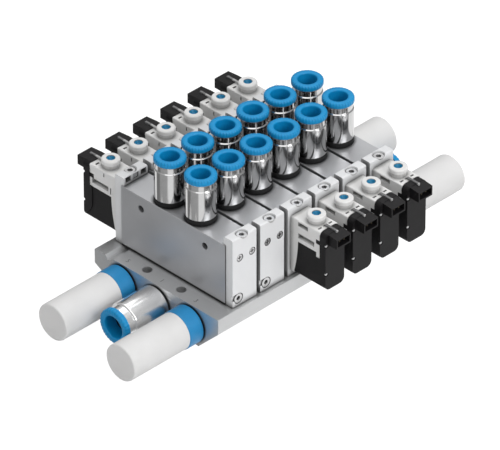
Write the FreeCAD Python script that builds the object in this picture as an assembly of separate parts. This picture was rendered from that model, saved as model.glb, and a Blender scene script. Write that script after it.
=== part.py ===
import FreeCAD, Part
import math
import os

V = FreeCAD.Vector

# Pneumatic valve island: six in-line valves on an aluminium manifold rail.
# X runs along each valve, Y runs along the rail, Z is up. Z 0 is the rail's underside.
# Valves are counted from the front, which is the low Y end. Sizes are millimetres.

# Layout of the valves on the rail
valve_count = 6
valve_pitch = 16.0
valve_gap = 1.4
single_pilot_count = 2

# Fits and small gaps
running_clearance = 0.05
seal_gap = 0.2
spool_end_gap = 0.5
armature_gap = 0.1
skirt_clearance = 0.2
grip_clearance = 0.05

# Manifold rail: an extruded profile, with three galleries along it
rail_side_margin = 2.0
rail_height = 18.6
rail_side_drop = 7.1
rail_chamfer = 11.5
rail_left_step = 4.0
rail_left_step_drop = 2.1
rail_end_margin = 17.2
groove_lip = 6.4
groove_floor_width = 2.6
groove_depth = 1.9
groove_slope = 1.2
groove_far_slope = 0.6
gallery_height = 9.3
gallery_pitch = 20.0
gallery_radius = 4.5
feed_port_radius = 1.8
rail_hole_radius = 2.2
rail_hole_spacing = 20.0
rail_hole_inset = 4.8
rail_edge_break = 0.3

# Threaded ports in the ends of the rail
port_thread_radius = 6.5
port_thread_depth = 9.0
port_seal_thickness = 0.6
port_seal_radius = 7.9

# Gasket and valve body
gasket_thickness = 0.8
gasket_inset = 0.2
body_half_length = 30.4
body_height = 28.9
body_edge_break = 0.2
spool_axis_height = 13.6
port_spacing = 9.0
chamber_radius = 5.0
chamber_wall = 2.0
spool_radius = 3.95
spool_core_radius = 2.4
spool_land_width = 1.8
spool_travel = 2.5
spool_piston_length = 4.6
cross_hole_radius = 1.6
cross_hole_x = 18.7
cross_hole_below_top = 6.0

# End covers, one at each end of every valve
cover_thickness = 4.0
cover_inset = 0.4
block_overhang = 1.2
block_rise = 3.9
block_edge_round = 0.8
window_width = 3.0
window_height = 2.5
window_depth = 2.2
middle_window_depth = 0.5
window_pitch = 4.4
window_below_top = 0.4
screw_inset = 1.8
screw_shank_radius = 1.25
screw_head_radius = 2.3
screw_head_height = 1.6
screw_head_rim = 0.3
screw_head_sink = 0.6
screw_mouth_radius = 2.95
screw_socket_width = 2.2
screw_socket_depth = 1.1
screw_bite = 6.0
counterbore_clearance = 0.35
countersink_clearance = 0.1

# Small fittings on the plain end covers
cap_screw_radius = 1.0
cap_screw_head_radius = 1.45
cap_screw_head_height = 0.6
cap_screw_seat_depth = 0.8
cap_screw_length = 3.2
cap_screw_slot_width = 0.5
cap_screw_slot_depth = 0.4
cap_screw_offsets = (-2.6, 4.5)
cap_screw_below_top = 6.4
plug_radius = 2.2
plug_head_height = 0.6
plug_recess_depth = 0.8
plug_thread_radius = 1.9
plug_depth = 2.4
plug_offset = -3.4
plug_height = 3.4
plug_socket_width = 2.0
plug_socket_depth = 1.0
plug_slot_rise = 0.4

# Pilot valve head: white moulding with the hand override on top
pilot_width = 10.4
pilot_length = 16.9
pilot_height = 27.0
pilot_block_height = 10.7
pilot_top_drop = 0.1
pilot_plate_top = 4.2
pilot_plate_bulge = 3.5
pilot_plate_foot = 1.8
pilot_tab_width = 2.2
pilot_tab_drop = 2.3
pilot_tab_depth = 3.5
pilot_edge_break = 0.3
override_offset = 9.6
override_radius = 1.9
override_travel = 1.0
override_recess = 0.3
override_seat_height = 2.5
collar_radius = 4.05
collar_neck_radius = 3.55
collar_height = 4.0
collar_rim = 2.0
collar_round = 0.7
armature_radius = 2.5
armature_floor = 2.5

# Mould pockets in the sides of the pilot body, as (start, length, drop, height):
# start runs outwards from the end cover, drop runs down from the pilot's top
pocket_depth = 2.0
front_pockets = ((4.1, 5.7, 0.9, 2.0), (4.2, 9.3, 6.4, 2.5))
back_pockets = ((5.8, 9.8, 6.4, 2.5), (8.2, 0.6, 1.0, 1.8), (4.3, 0.6, 6.6, 3.1))
latch_width = 2.4
latch_height = 2.1
latch_drop = 4.3
latch_depth = 1.3
hook_clearance = 0.1
top_slot_inset = 2.8
top_slot_spacing = 3.0
top_slot_length = 0.9
top_slot_width = 1.9

# Coil block and black plug cover of a pilot valve
coil_reach = 15.5
coil_depth = 26.7
coil_edge_round = 0.6
coil_toe_length = 4.3
coil_toe_height = 6.2
coil_toe_tip = 0.4
coil_toe_waist = (1.8, 2.5)
cover_seam = 0.1
plug_cover_width = 11.0
plug_cover_thickness = 3.5
plug_cover_height = 27.9
plug_cover_rise = 0.4
plug_cover_round = 2.6
socket_length = 5.0
socket_width = 8.1
socket_rise = 0.2
socket_height = 5.1
socket_slope = 0.5
socket_wall = 0.65
socket_floor = 0.8
socket_depth = 4.3
pin_size = 0.64
pin_pitch = 2.5
pin_length = 3.2
pin_root = 1.0
cover_screw_inset = 0.9
cover_screw_drops = (5.4, 19.5)
cover_screw_radius = 0.75
cover_screw_head = 0.6
cover_screw_pocket = 0.9
light_guide_width = 1.0
light_guide_overlap = 2.0
light_guide_reach = 1.4
light_guide_sink = 0.2
light_guide_height = 1.2

# Silencers, one in each end of both exhaust galleries
silencer_base_radius = 8.7
silencer_base_length = 7.6
silencer_foam_step = 0.25
silencer_foam_length = 31.8
silencer_spigot_radius = 6.0
silencer_spigot_length = 4.0
silencer_edge_round = 0.4
port_thread_length = 8.0

# Push-in fittings. Heights run from the face that the fitting screws down to, and
# each radius step is counted outwards from the tube's bore.
output_fitting = {
    "thread_radius": 4.85,
    "thread_length": 5.0,
    "seal_height": 2.5,
    "seal_radius": 6.95,
    "flow_radius": 3.0,
    "tube_radius": 4.05,
    "sleeve_wall": 0.9,
    "chamber_step": 0.3,
    "collar_wall": 1.35,
    "neck_step": 0.1,
    "body_step": 0.25,
    "skirt_wall": 0.3,
    "stop_height": 5.5,
    "tube_wall": 5.5,
    "chamber_height": 4.0,
    "body_height": 14.4,
    "neck_height": 1.7,
    "collar_height": 1.2,
    "flange_height": 2.2,
    "flange_round": 0.6,
}
supply_fitting = {
    "thread_radius": port_thread_radius,
    "thread_length": port_thread_length,
    "seal_height": port_seal_thickness,
    "seal_radius": port_seal_radius,
    "flow_radius": 4.0,
    "tube_radius": 5.1,
    "sleeve_wall": 1.0,
    "chamber_step": 0.45,
    "collar_wall": 1.45,
    "neck_step": 0.2,
    "body_step": 0.6,
    "skirt_wall": 0.3,
    "stop_height": 8.0,
    "tube_wall": 6.0,
    "chamber_height": 4.4,
    "body_height": 18.2,
    "neck_height": 2.0,
    "collar_height": 1.5,
    "flange_height": 2.5,
    "flange_round": 0.7,
}
ring_travel = 1.0
ring_spare = 0.1
tube_seal_height = 2.0
grip_ring_height = 0.8
body_edge_round = 0.5

# Places that follow from the sizes above
rail_half_length = (valve_count - 1) * valve_pitch / 2 + rail_end_margin
body_width = valve_pitch - valve_gap
body_bottom = rail_height + gasket_thickness
body_top = body_bottom + body_height
spool_z = body_bottom + spool_axis_height
bore_radius = spool_radius + running_clearance
cover_width = body_width - 2 * cover_inset
cover_top = body_top + block_rise
cover_outer_x = body_half_length + cover_thickness
rail_half_width = cover_outer_x + rail_side_margin
silencer_foam_radius = silencer_base_radius - silencer_foam_step
screw_x = cover_outer_x - screw_inset
screw_head_z = cover_top - screw_head_sink
screw_seat_z = screw_head_z - screw_head_height
screw_rim_z = screw_head_z - screw_head_rim
pilot_top_z = body_top - pilot_top_drop
pilot_shoulder_z = pilot_top_z - pilot_block_height
pilot_bottom_z = pilot_top_z - pilot_height
pilot_end_x = cover_outer_x + pilot_length
tab_x = pilot_end_x - pilot_tab_width
tab_z = pilot_shoulder_z - pilot_tab_drop
override_x = cover_outer_x + override_offset
override_bottom_z = pilot_shoulder_z + override_seat_height
collar_top_z = pilot_top_z + collar_height
coil_end_x = cover_outer_x + coil_reach
coil_toe_x = coil_end_x + coil_toe_length
coil_bottom_z = pilot_top_z - coil_depth
armature_bottom_z = coil_bottom_z + armature_floor
plug_cover_end_x = pilot_end_x + plug_cover_thickness
plug_cover_top_z = pilot_top_z + plug_cover_rise
plug_cover_bottom_z = plug_cover_top_z - plug_cover_height
socket_end_x = plug_cover_end_x + socket_length
socket_top_z = pilot_top_z + socket_rise
socket_bottom_z = socket_top_z - socket_height
socket_roof_z = socket_top_z - socket_slope - socket_wall
socket_floor_z = socket_bottom_z + socket_floor


def valve_y(number):
    """Centre line of a valve, counted from the front."""
    return (number - (valve_count + 1) / 2) * valve_pitch


def block(x0, x1, y0, y1, z0, z1):
    return Part.makeBox(x1 - x0, y1 - y0, z1 - z0, V(x0, y0, z0))


def rod(radius, start, direction, length):
    return Part.makeCylinder(radius, length, V(*start), V(*direction))


def extruded(points, sweep):
    """Closed outline of straight sides, swept along a vector."""
    corners = [V(*point) for point in points]
    corners.append(corners[0])
    return Part.Face(Part.makePolygon(corners)).extrude(V(*sweep))


def turned(profile):
    """Solid of revolution about Z from (radius, height) points."""
    corners = [V(radius, 0, height) for radius, height in profile]
    corners.append(corners[0])
    return Part.Face(Part.makePolygon(corners)).revolve(V(0, 0, 0), V(0, 0, 1), 360)


def hexagon(width, start, direction, depth):
    """Hexagonal socket, its width across flats."""
    tip = width / math.sqrt(3)
    points = [V(tip * math.cos(k * math.pi / 3), tip * math.sin(k * math.pi / 3), 0) for k in range(7)]
    prism = Part.Face(Part.makePolygon(points)).extrude(V(0, 0, depth))
    prism.Placement = FreeCAD.Placement(V(*start), FreeCAD.Rotation(V(0, 0, 1), V(*direction)))
    return prism


def moved(shape, x, y, z):
    copy = shape.copy()
    copy.translate(V(x, y, z))
    return copy


def half_turn(shape):
    """The same piece fitted to the other end of the valve."""
    copy = shape.copy()
    copy.rotate(V(0, 0, 0), V(0, 0, 1), 180)
    return copy


def edges_along(shape, direction, test):
    """Straight edges that run along a direction and whose middle passes a test."""
    axis = V(*direction)
    found = []
    for edge in shape.Edges:
        if isinstance(edge.Curve, Part.Line) and abs(abs(edge.Curve.Direction.dot(axis)) - 1) < 1e-6:
            if test(edge.CenterOfMass):
                found.append(edge)
    return found


def rail_profile():
    """Section of the rail: a label groove at the left, and slopes below both sides."""
    side = rail_half_width
    shoulder = rail_height - rail_side_drop
    left_x = -side + rail_left_step
    left_z = shoulder - rail_left_step_drop
    foot = side - rail_chamfer
    lip_x = -side + groove_lip
    floor_x = lip_x + groove_slope
    return [
        (-side, 0, rail_height),
        (lip_x, 0, rail_height),
        (floor_x, 0, rail_height - groove_depth),
        (floor_x + groove_floor_width, 0, rail_height - groove_depth),
        (floor_x + groove_floor_width + groove_far_slope, 0, rail_height),
        (side, 0, rail_height),
        (side, 0, shoulder),
        (foot, 0, 0),
        (-foot, 0, 0),
        (left_x, 0, left_z),
        (-side, 0, shoulder),
    ]


def manifold_rail():
    """Extruded rail with its galleries, end threads, feed ports and fixing holes."""
    rail = extruded(rail_profile(), (0, 2 * rail_half_length, 0))
    rail.translate(V(0, -rail_half_length, 0))
    rail = rail.makeChamfer(rail_edge_break, edges_along(rail, (0, 1, 0), lambda c: c.z > rail_height / 2))
    cuts = []
    for gallery in (-1, 0, 1):
        x = gallery * gallery_pitch
        start = (x, -rail_half_length, gallery_height)
        cuts.append(rod(gallery_radius, start, (0, 1, 0), 2 * rail_half_length))
        for end in (-1, 1):
            mouth = (x, end * rail_half_length, gallery_height)
            cuts.append(rod(port_thread_radius, mouth, (0, -end, 0), port_thread_depth))
    for number in range(1, valve_count + 1):
        y = valve_y(number)
        for port in (-2, 0, 2):
            foot = (port * port_spacing, y, gallery_height)
            cuts.append(rod(feed_port_radius, foot, (0, 0, 1), rail_height - gallery_height))
        for end in (-1, 1):
            tip = (end * screw_x, y, rail_height - screw_bite)
            cuts.append(rod(screw_shank_radius, tip, (0, 0, 1), screw_bite))
    for x in (-rail_hole_spacing / 2, rail_hole_spacing / 2):
        for end in (-1, 1):
            y = end * (rail_half_length - rail_hole_inset)
            cuts.append(rod(rail_hole_radius, (x, y, 0), (0, 0, 1), rail_height))
    return rail.cut(cuts)


def valve_gasket(y):
    """Thin flat gasket between the rail and one valve, open at its three ports."""
    half = body_width / 2 - gasket_inset
    sheet = block(-body_half_length, body_half_length, y - half, y + half, rail_height, body_bottom)
    ports = [
        rod(feed_port_radius, (port * port_spacing, y, rail_height), (0, 0, 1), gasket_thickness)
        for port in (-2, 0, 2)
    ]
    return sheet.cut(ports)


def valve_body(y):
    """Aluminium valve body with its spool bore, five ring chambers and ports."""
    half = body_width / 2
    body = block(-body_half_length, body_half_length, y - half, y + half, body_bottom, body_top)
    body = body.makeChamfer(body_edge_break, edges_along(body, (1, 0, 0), lambda c: c.z > spool_z))
    cuts = [rod(bore_radius, (-body_half_length, y, spool_z), (1, 0, 0), 2 * body_half_length)]
    chamber_width = port_spacing - chamber_wall
    for port in (-2, -1, 0, 1, 2):
        start = (port * port_spacing - chamber_width / 2, y, spool_z)
        cuts.append(rod(chamber_radius, start, (1, 0, 0), chamber_width))
    for port in (-2, 0, 2):
        foot = (port * port_spacing, y, body_bottom)
        cuts.append(rod(feed_port_radius, foot, (0, 0, 1), spool_z - body_bottom))
    thread = output_fitting["thread_length"]
    for x in (-port_spacing, port_spacing):
        cuts.append(rod(output_fitting["flow_radius"], (x, y, spool_z), (0, 0, 1), body_top - spool_z))
        cuts.append(rod(output_fitting["thread_radius"], (x, y, body_top - thread), (0, 0, 1), thread))
    for x in (-cross_hole_x, cross_hole_x):
        start = (x, y - half, body_top - cross_hole_below_top)
        cuts.append(rod(cross_hole_radius, start, (0, 1, 0), body_width))
    return body.cut(cuts)


def spool(y):
    """Piston spool, drawn at its rest end: four sealing lands between two pistons."""
    start = -body_half_length + spool_end_gap
    end = body_half_length - spool_end_gap - spool_travel
    inner = port_spacing / 2
    outer = inner + port_spacing
    core = rod(spool_core_radius, (start, 0, 0), (1, 0, 0), end - start)
    discs = [rod(spool_radius, (start, 0, 0), (1, 0, 0), spool_piston_length)]
    discs.append(rod(spool_radius, (end - spool_piston_length, 0, 0), (1, 0, 0), spool_piston_length))
    for centre in (-outer - spool_travel, -inner, inner - spool_travel, outer):
        land = (centre - spool_land_width / 2, 0, 0)
        discs.append(rod(spool_radius, land, (1, 0, 0), spool_land_width))
    return moved(core.fuse(discs).removeSplitter(), 0, y, spool_z)


def tapered(low_radius, high_radius, low, high):
    """Cone about a mounting screw's axis, between two heights."""
    return Part.makeCone(low_radius, high_radius, high - low, V(screw_x, 0, low))


def countersink(clearance):
    """Tapered underside of a mounting screw's head, wider by a radial clearance."""
    return tapered(screw_shank_radius + clearance, screw_head_radius + clearance, screw_seat_z, screw_rim_z)


def end_cover():
    """Right-hand end cover: a plate with a raised block that laps over the body."""
    half = cover_width / 2
    inner = body_half_length
    lap = inner - block_overhang
    outline = [
        (inner, -half, rail_height),
        (cover_outer_x, -half, rail_height),
        (cover_outer_x, -half, cover_top),
        (lap, -half, cover_top),
        (lap, -half, body_top),
        (inner, -half, body_top),
    ]
    cover = extruded(outline, (0, cover_width, 0))
    top_edges = edges_along(cover, (0, 1, 0), lambda c: c.z > body_top + block_rise / 2)
    cover = cover.makeFillet(block_edge_round, top_edges)
    cuts = [rod(screw_shank_radius, (screw_x, 0, rail_height), (0, 0, 1), cover_top - rail_height)]
    cuts.append(countersink(countersink_clearance))
    seat_radius = screw_head_radius + countersink_clearance
    cuts.append(tapered(seat_radius, screw_mouth_radius, screw_rim_z, cover_top))
    window_top = cover_top - window_below_top
    for place, depth in ((-1, window_depth), (0, middle_window_depth), (1, window_depth)):
        near = place * window_pitch - window_width / 2
        far = near + window_width
        cuts.append(block(lap, lap + depth, near, far, window_top - window_height, window_top))
    return cover.cut(cuts)


def plain_cover():
    """End cover of a side with no pilot valve, with its screws' and plug's seats."""
    outer = cover_outer_x
    cuts = []
    screw_z = body_top - cap_screw_below_top
    for offset in cap_screw_offsets:
        seat = (outer - cap_screw_seat_depth, offset, screw_z)
        tip = (outer - cap_screw_length, offset, screw_z)
        seat_radius = cap_screw_head_radius + counterbore_clearance
        cuts.append(rod(seat_radius, seat, (1, 0, 0), cap_screw_seat_depth))
        cuts.append(rod(cap_screw_radius, tip, (1, 0, 0), cap_screw_length))
    plug_z = rail_height + plug_height
    mouth = (outer, plug_offset, plug_z)
    recess_radius = plug_radius + counterbore_clearance
    cuts.append(rod(recess_radius, mouth, (-1, 0, 0), plug_recess_depth))
    cuts.append(rod(plug_thread_radius, mouth, (-1, 0, 0), plug_depth))
    low = plug_z - plug_slot_rise
    high = plug_z + recess_radius
    cuts.append(block(outer - plug_recess_depth, outer, -cover_width / 2, plug_offset, low, high))
    return end_cover().cut(cuts)


def mounting_screw():
    """Countersunk screw that clamps the end cover and valve to the rail."""
    tip = rail_height - screw_bite
    shank = rod(screw_shank_radius, (screw_x, 0, tip), (0, 0, 1), screw_seat_z - tip)
    rim = rod(screw_head_radius, (screw_x, 0, screw_rim_z), (0, 0, 1), screw_head_rim)
    floor = (screw_x, 0, screw_head_z - screw_socket_depth)
    screw = shank.fuse([countersink(0), rim])
    return screw.cut(hexagon(screw_socket_width, floor, (0, 0, 1), screw_socket_depth))


def cap_screw(offset):
    """Small cross-slotted screw in a plain end cover."""
    z = body_top - cap_screw_below_top
    seat = cover_outer_x - cap_screw_seat_depth
    face = seat + cap_screw_head_height
    tip = cover_outer_x - cap_screw_length
    head = rod(cap_screw_head_radius, (seat, offset, z), (1, 0, 0), cap_screw_head_height)
    shank = rod(cap_screw_radius, (tip, offset, z), (1, 0, 0), seat - tip)
    slot = face - cap_screw_slot_depth
    reach = cap_screw_radius
    half = cap_screw_slot_width / 2
    upright = block(slot, face, offset - half, offset + half, z - reach, z + reach)
    level = block(slot, face, offset - reach, offset + reach, z - half, z + half)
    return head.fuse(shank).cut([upright, level])


def port_plug():
    """Threaded plug with a hexagonal socket in a plain end cover."""
    seat_x = cover_outer_x - plug_recess_depth
    z = rail_height + plug_height
    head = rod(plug_radius, (seat_x, plug_offset, z), (1, 0, 0), plug_head_height)
    thread = plug_depth - plug_recess_depth
    plug = head.fuse(rod(plug_thread_radius, (seat_x, plug_offset, z), (-1, 0, 0), thread))
    face = (seat_x + plug_head_height, plug_offset, z)
    return plug.cut(hexagon(plug_socket_width, face, (-1, 0, 0), plug_socket_depth))


def pilot_block():
    """White pilot body before its details: plate with a bowed back, block and foot tab."""
    foot = V(cover_outer_x + pilot_plate_foot, 0, pilot_bottom_z)
    middle = V(cover_outer_x + pilot_plate_bulge, 0, (pilot_bottom_z + pilot_shoulder_z) / 2)
    top = V(cover_outer_x + pilot_plate_top, 0, pilot_shoulder_z)
    corners = [
        top,
        V(pilot_end_x, 0, pilot_shoulder_z),
        V(pilot_end_x, 0, pilot_top_z),
        V(cover_outer_x, 0, pilot_top_z),
        V(cover_outer_x, 0, pilot_bottom_z),
        foot,
    ]
    edges = [Part.Arc(foot, middle, top).toShape()]
    for first, second in zip(corners, corners[1:]):
        edges.append(Part.LineSegment(first, second).toShape())
    outline = Part.Face(Part.Wire(edges))
    outline.translate(V(0, -pilot_width / 2, 0))
    return outline.extrude(V(0, pilot_width, 0)).fuse(foot_tab(0)).removeSplitter()


def foot_tab(spread):
    """Tab below the pilot body's end, at its front face, widened to the front."""
    front = -pilot_width / 2
    return block(tab_x, pilot_end_x, front - spread, front + pilot_tab_depth, tab_z, pilot_shoulder_z)


def override_collar():
    """Round collar on the pilot, a neck with a wider rim, that guards the button."""
    neck = rod(collar_neck_radius, (override_x, 0, pilot_top_z), (0, 0, 1), collar_height)
    rim_z = collar_top_z - collar_rim
    rim = rod(collar_radius, (override_x, 0, rim_z), (0, 0, 1), collar_rim)
    top_edges = [edge for edge in rim.Edges if edge.Closed and edge.CenterOfMass.z > rim_z + collar_round]
    return neck.fuse(rim.makeFillet(collar_round, top_edges))


def side_pocket(side, start, length, drop, height, depth):
    """Rectangular pocket in one side face of the pilot body."""
    face = side * pilot_width / 2
    near, far = sorted((face, face - side * depth))
    x = cover_outer_x + start
    z = pilot_top_z - drop
    return block(x, x + length, near, far, z - height, z)


def pilot_head():
    """White pilot body with its override collar, recesses, snap notches and slots."""
    head = pilot_block()
    top_edges = edges_along(head, (1, 0, 0), lambda c: c.z > pilot_top_z - pilot_edge_break)
    head = head.makeChamfer(pilot_edge_break, top_edges)
    head = head.fuse(override_collar())
    bore_bottom = override_bottom_z - override_travel
    bore_radius = override_radius + running_clearance
    cuts = [rod(bore_radius, (override_x, 0, bore_bottom), (0, 0, 1), collar_top_z - bore_bottom)]
    well_foot = (override_x, 0, pilot_shoulder_z)
    cuts.append(rod(armature_radius + armature_gap, well_foot, (0, 0, 1), bore_bottom - pilot_shoulder_z))
    cuts.extend(side_pocket(-1, *pocket, pocket_depth) for pocket in front_pockets)
    cuts.extend(side_pocket(1, *pocket, pocket_depth) for pocket in back_pockets)
    latch = (pilot_length - latch_width, latch_width, latch_drop, latch_height, latch_depth)
    cuts.extend(side_pocket(side, *latch) for side in (-1, 1))
    x = pilot_end_x - top_slot_inset
    for place in (-1, 0, 1):
        near = place * top_slot_spacing - top_slot_width / 2
        far = near + top_slot_width
        cuts.append(block(x, x + top_slot_length, near, far, pilot_top_z - pocket_depth, pilot_top_z))
    cuts.append(light_guide())
    return head.cut(cuts)


def override_button():
    """Blue hand override button, sunk in its collar."""
    height = collar_top_z - override_recess - override_bottom_z
    return rod(override_radius, (override_x, 0, override_bottom_z), (0, 0, 1), height)


def armature():
    """Steel armature below the override, inside the coil."""
    height = override_bottom_z - override_travel - armature_gap - armature_bottom_z
    return rod(armature_radius, (override_x, 0, armature_bottom_z), (0, 0, 1), height)


def toe_room(gap):
    """Hollow-backed wedge below the plug cover, where the coil's toe lies."""
    half = plug_cover_width / 2
    back, up = coil_toe_waist
    tip = V(coil_toe_x + gap, -half, coil_bottom_z + coil_toe_tip + gap)
    waist = V(coil_end_x + back + gap, -half, coil_bottom_z + up + gap)
    top = V(coil_end_x, -half, coil_bottom_z + coil_toe_height + gap)
    corners = [top, V(top.x, -half, plug_cover_bottom_z), V(tip.x, -half, plug_cover_bottom_z), tip]
    edges = [Part.Arc(tip, waist, top).toShape()]
    for first, second in zip(corners, corners[1:]):
        edges.append(Part.LineSegment(first, second).toShape())
    return Part.Face(Part.Wire(edges)).extrude(V(0, plug_cover_width, 0))


def solenoid_coil():
    """Black overmoulded coil block below the pilot body, with a toe under the plug cover."""
    half = pilot_width / 2
    coil = block(cover_outer_x, coil_toe_x, -half, half, coil_bottom_z, pilot_shoulder_z)
    low_edges = edges_along(coil, (1, 0, 0), lambda c: c.z < coil_bottom_z + coil_edge_round)
    coil = coil.makeFillet(coil_edge_round, low_edges)
    depth = pilot_shoulder_z - armature_bottom_z
    well = rod(armature_radius + armature_gap, (override_x, 0, armature_bottom_z), (0, 0, 1), depth)
    above_toe = block(coil_end_x, coil_toe_x, -half, half, coil_bottom_z, pilot_shoulder_z)
    return coil.cut([pilot_block(), well, above_toe.cut(toe_room(0))])


def latch_hook(side):
    """Hook of the plug cover that snaps into the pilot body's notch."""
    length = latch_width - hook_clearance
    height = latch_height - 2 * hook_clearance
    drop = latch_drop + hook_clearance
    return side_pocket(side, pilot_length - length, length, drop, height, latch_depth - hook_clearance)


def plug_cover():
    """Black end cover of a pilot valve with the electrical plug socket."""
    half = plug_cover_width / 2
    plate = block(coil_end_x, plug_cover_end_x, -half, half, plug_cover_bottom_z, plug_cover_top_z)
    corners = edges_along(plate, (1, 0, 0), lambda c: c.x > coil_end_x)
    plate = plate.makeFillet(plug_cover_round, corners)
    room = block(coil_end_x, pilot_end_x, -half, half, pilot_shoulder_z, plug_cover_top_z)
    plate = plate.cut([room, foot_tab(half - pilot_width / 2), toe_room(cover_seam)])
    wide = socket_width / 2
    outline = [
        (pilot_end_x, -wide, socket_bottom_z),
        (socket_end_x, -wide, socket_bottom_z),
        (socket_end_x, -wide, socket_top_z - socket_slope),
        (plug_cover_end_x, -wide, socket_top_z),
        (pilot_end_x, -wide, socket_top_z),
    ]
    hooks = [latch_hook(side) for side in (-1, 1)]
    cover = plate.fuse([extruded(outline, (0, socket_width, 0))] + hooks)
    mouth = wide - socket_wall
    cavity = block(socket_end_x - socket_depth, socket_end_x, -mouth, mouth, socket_floor_z, socket_roof_z)
    return cover.cut([cavity, light_guide()] + contact_pins())


def screw_pockets(side):
    """Corner pockets for the two cover screws, on one edge of the plug cover."""
    wall = plug_cover_end_x - cover_screw_pocket
    edge = side * plug_cover_width / 2
    y = edge - side * cover_screw_inset
    near, far = sorted((y, edge))
    pockets = []
    for drop in cover_screw_drops:
        z = pilot_top_z - drop
        pockets.append(rod(cover_screw_radius, (wall, y, z), (1, 0, 0), cover_screw_pocket))
        low = z - cover_screw_radius
        pockets.append(block(wall, plug_cover_end_x, near, far, low, low + 2 * cover_screw_radius))
    return pockets


def cover_screws(side):
    """Two small screws that hold the plug cover, on one edge of it."""
    wall = plug_cover_end_x - cover_screw_pocket
    y = side * (plug_cover_width / 2 - cover_screw_inset)
    return [
        rod(cover_screw_radius, (wall, y, pilot_top_z - drop), (1, 0, 0), cover_screw_head)
        for drop in cover_screw_drops
    ]


def light_guide():
    """Clear bar on top that brings the status light to view."""
    half = light_guide_width / 2
    bottom = pilot_top_z - light_guide_sink
    start = pilot_end_x - light_guide_overlap
    end = plug_cover_end_x + light_guide_reach
    return block(start, end, -half, half, bottom, bottom + light_guide_height)


def contact_pins():
    """Two contact pins in the plug socket."""
    z = (socket_floor_z + socket_roof_z - pin_size) / 2
    wall = socket_end_x - socket_depth
    pins = []
    for side in (-1, 1):
        y = (side * pin_pitch - pin_size) / 2
        pins.append(block(wall - pin_root, wall + pin_length, y, y + pin_size, z, z + pin_size))
    return pins


def fitting_radii(size):
    """Radii of a push-in fitting's steps, counted outwards from the tube."""
    sleeve = size["tube_radius"] + size["sleeve_wall"]
    bore = sleeve + running_clearance
    collar = bore + size["collar_wall"]
    neck = collar + size["neck_step"]
    body = neck + size["body_step"]
    skirt = collar + skirt_clearance
    return sleeve, bore, collar, neck, body, skirt


def fitting_heights(size):
    """Heights of a push-in fitting's steps: tube wall, chamber, body, neck, collar."""
    wall = size["stop_height"] + size["tube_wall"]
    chamber = wall + size["chamber_height"]
    body = size["seal_height"] + size["body_height"]
    neck = body + size["neck_height"]
    return wall, chamber, body, neck, neck + size["collar_height"]


def fitting_body(size):
    """Nickel-plated fitting body with its male thread, tube bore and ring chamber."""
    sleeve, bore, collar, neck, body, skirt = fitting_radii(size)
    wall_top, chamber_top, body_top_z, neck_top, collar_top = fitting_heights(size)
    chamber = bore + size["chamber_step"]
    return turned([
        (size["flow_radius"], -size["thread_length"]),
        (size["thread_radius"], -size["thread_length"]),
        (size["thread_radius"], size["seal_height"]),
        (body, size["seal_height"]),
        (body, body_top_z - body_edge_round),
        (neck, body_top_z),
        (neck, neck_top),
        (collar, neck_top),
        (collar, collar_top),
        (bore, collar_top),
        (bore, chamber_top),
        (chamber, chamber_top),
        (chamber, wall_top),
        (size["tube_radius"], wall_top),
        (size["tube_radius"], size["stop_height"]),
        (size["flow_radius"], size["stop_height"]),
    ])


def release_ring(size):
    """Blue release ring: a flange to press and a sleeve that opens the grip ring."""
    sleeve, bore, collar, neck, body, skirt = fitting_radii(size)
    wall_top, chamber_top, body_top_z, neck_top, collar_top = fitting_heights(size)
    top = collar_top + size["flange_height"]
    ceiling = collar_top + ring_travel + ring_spare
    flange = skirt + size["skirt_wall"]
    rim = size["flange_round"]
    return turned([
        (size["tube_radius"], chamber_top + ring_spare),
        (sleeve, chamber_top + ring_spare),
        (sleeve, ceiling),
        (skirt, ceiling),
        (skirt, collar_top),
        (flange, collar_top),
        (flange, top - rim),
        (flange - rim, top),
        (size["tube_radius"] + rim, top),
        (size["tube_radius"], top - rim),
    ])


def washer(inner, outer, bottom, height):
    """Flat ring about Z."""
    return turned([(inner, bottom), (outer, bottom), (outer, bottom + height), (inner, bottom + height)])


def fitting_seal(size):
    """Black ring between the fitting and the face that it screws down to."""
    return washer(size["thread_radius"], size["seal_radius"], 0, size["seal_height"])


def chamber_ring(size, bottom, height):
    """Ring that lies loose in the fitting's chamber, round the tube."""
    sleeve, bore = fitting_radii(size)[:2]
    outer = bore + size["chamber_step"] - grip_clearance
    return washer(size["tube_radius"] + seal_gap, outer, bottom, height)


def tube_seal(size):
    """Rubber lip seal round the tube, at the bottom of the chamber."""
    return chamber_ring(size, fitting_heights(size)[0], tube_seal_height)


def grip_ring(size):
    """Toothed steel ring that holds the tube, under the release ring's sleeve."""
    top = fitting_heights(size)[1] - ring_travel
    return chamber_ring(size, top - grip_ring_height, grip_ring_height)


def at_output(shape, row, y):
    return moved(shape, row * port_spacing, y, body_top)


def at_rail_end(shape, gallery, end):
    """Turns an upright piece to stand out of an end of the rail."""
    copy = shape.copy()
    copy.rotate(V(0, 0, 0), V(1, 0, 0), -90 * end)
    return moved(copy, gallery * gallery_pitch, end * rail_half_length, gallery_height)


def silencer_base():
    """Blue threaded base of a silencer, with the spigot that carries its foam."""
    bottom = port_seal_thickness
    top = bottom + silencer_base_length
    spigot_top = top + silencer_spigot_length
    rim = silencer_edge_round
    return turned([
        (0, -port_thread_length),
        (port_thread_radius, -port_thread_length),
        (port_thread_radius, bottom),
        (silencer_base_radius, bottom),
        (silencer_base_radius, top - rim),
        (silencer_base_radius - rim, top),
        (silencer_spigot_radius, top),
        (silencer_spigot_radius, spigot_top),
        (0, spigot_top),
    ])


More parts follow.
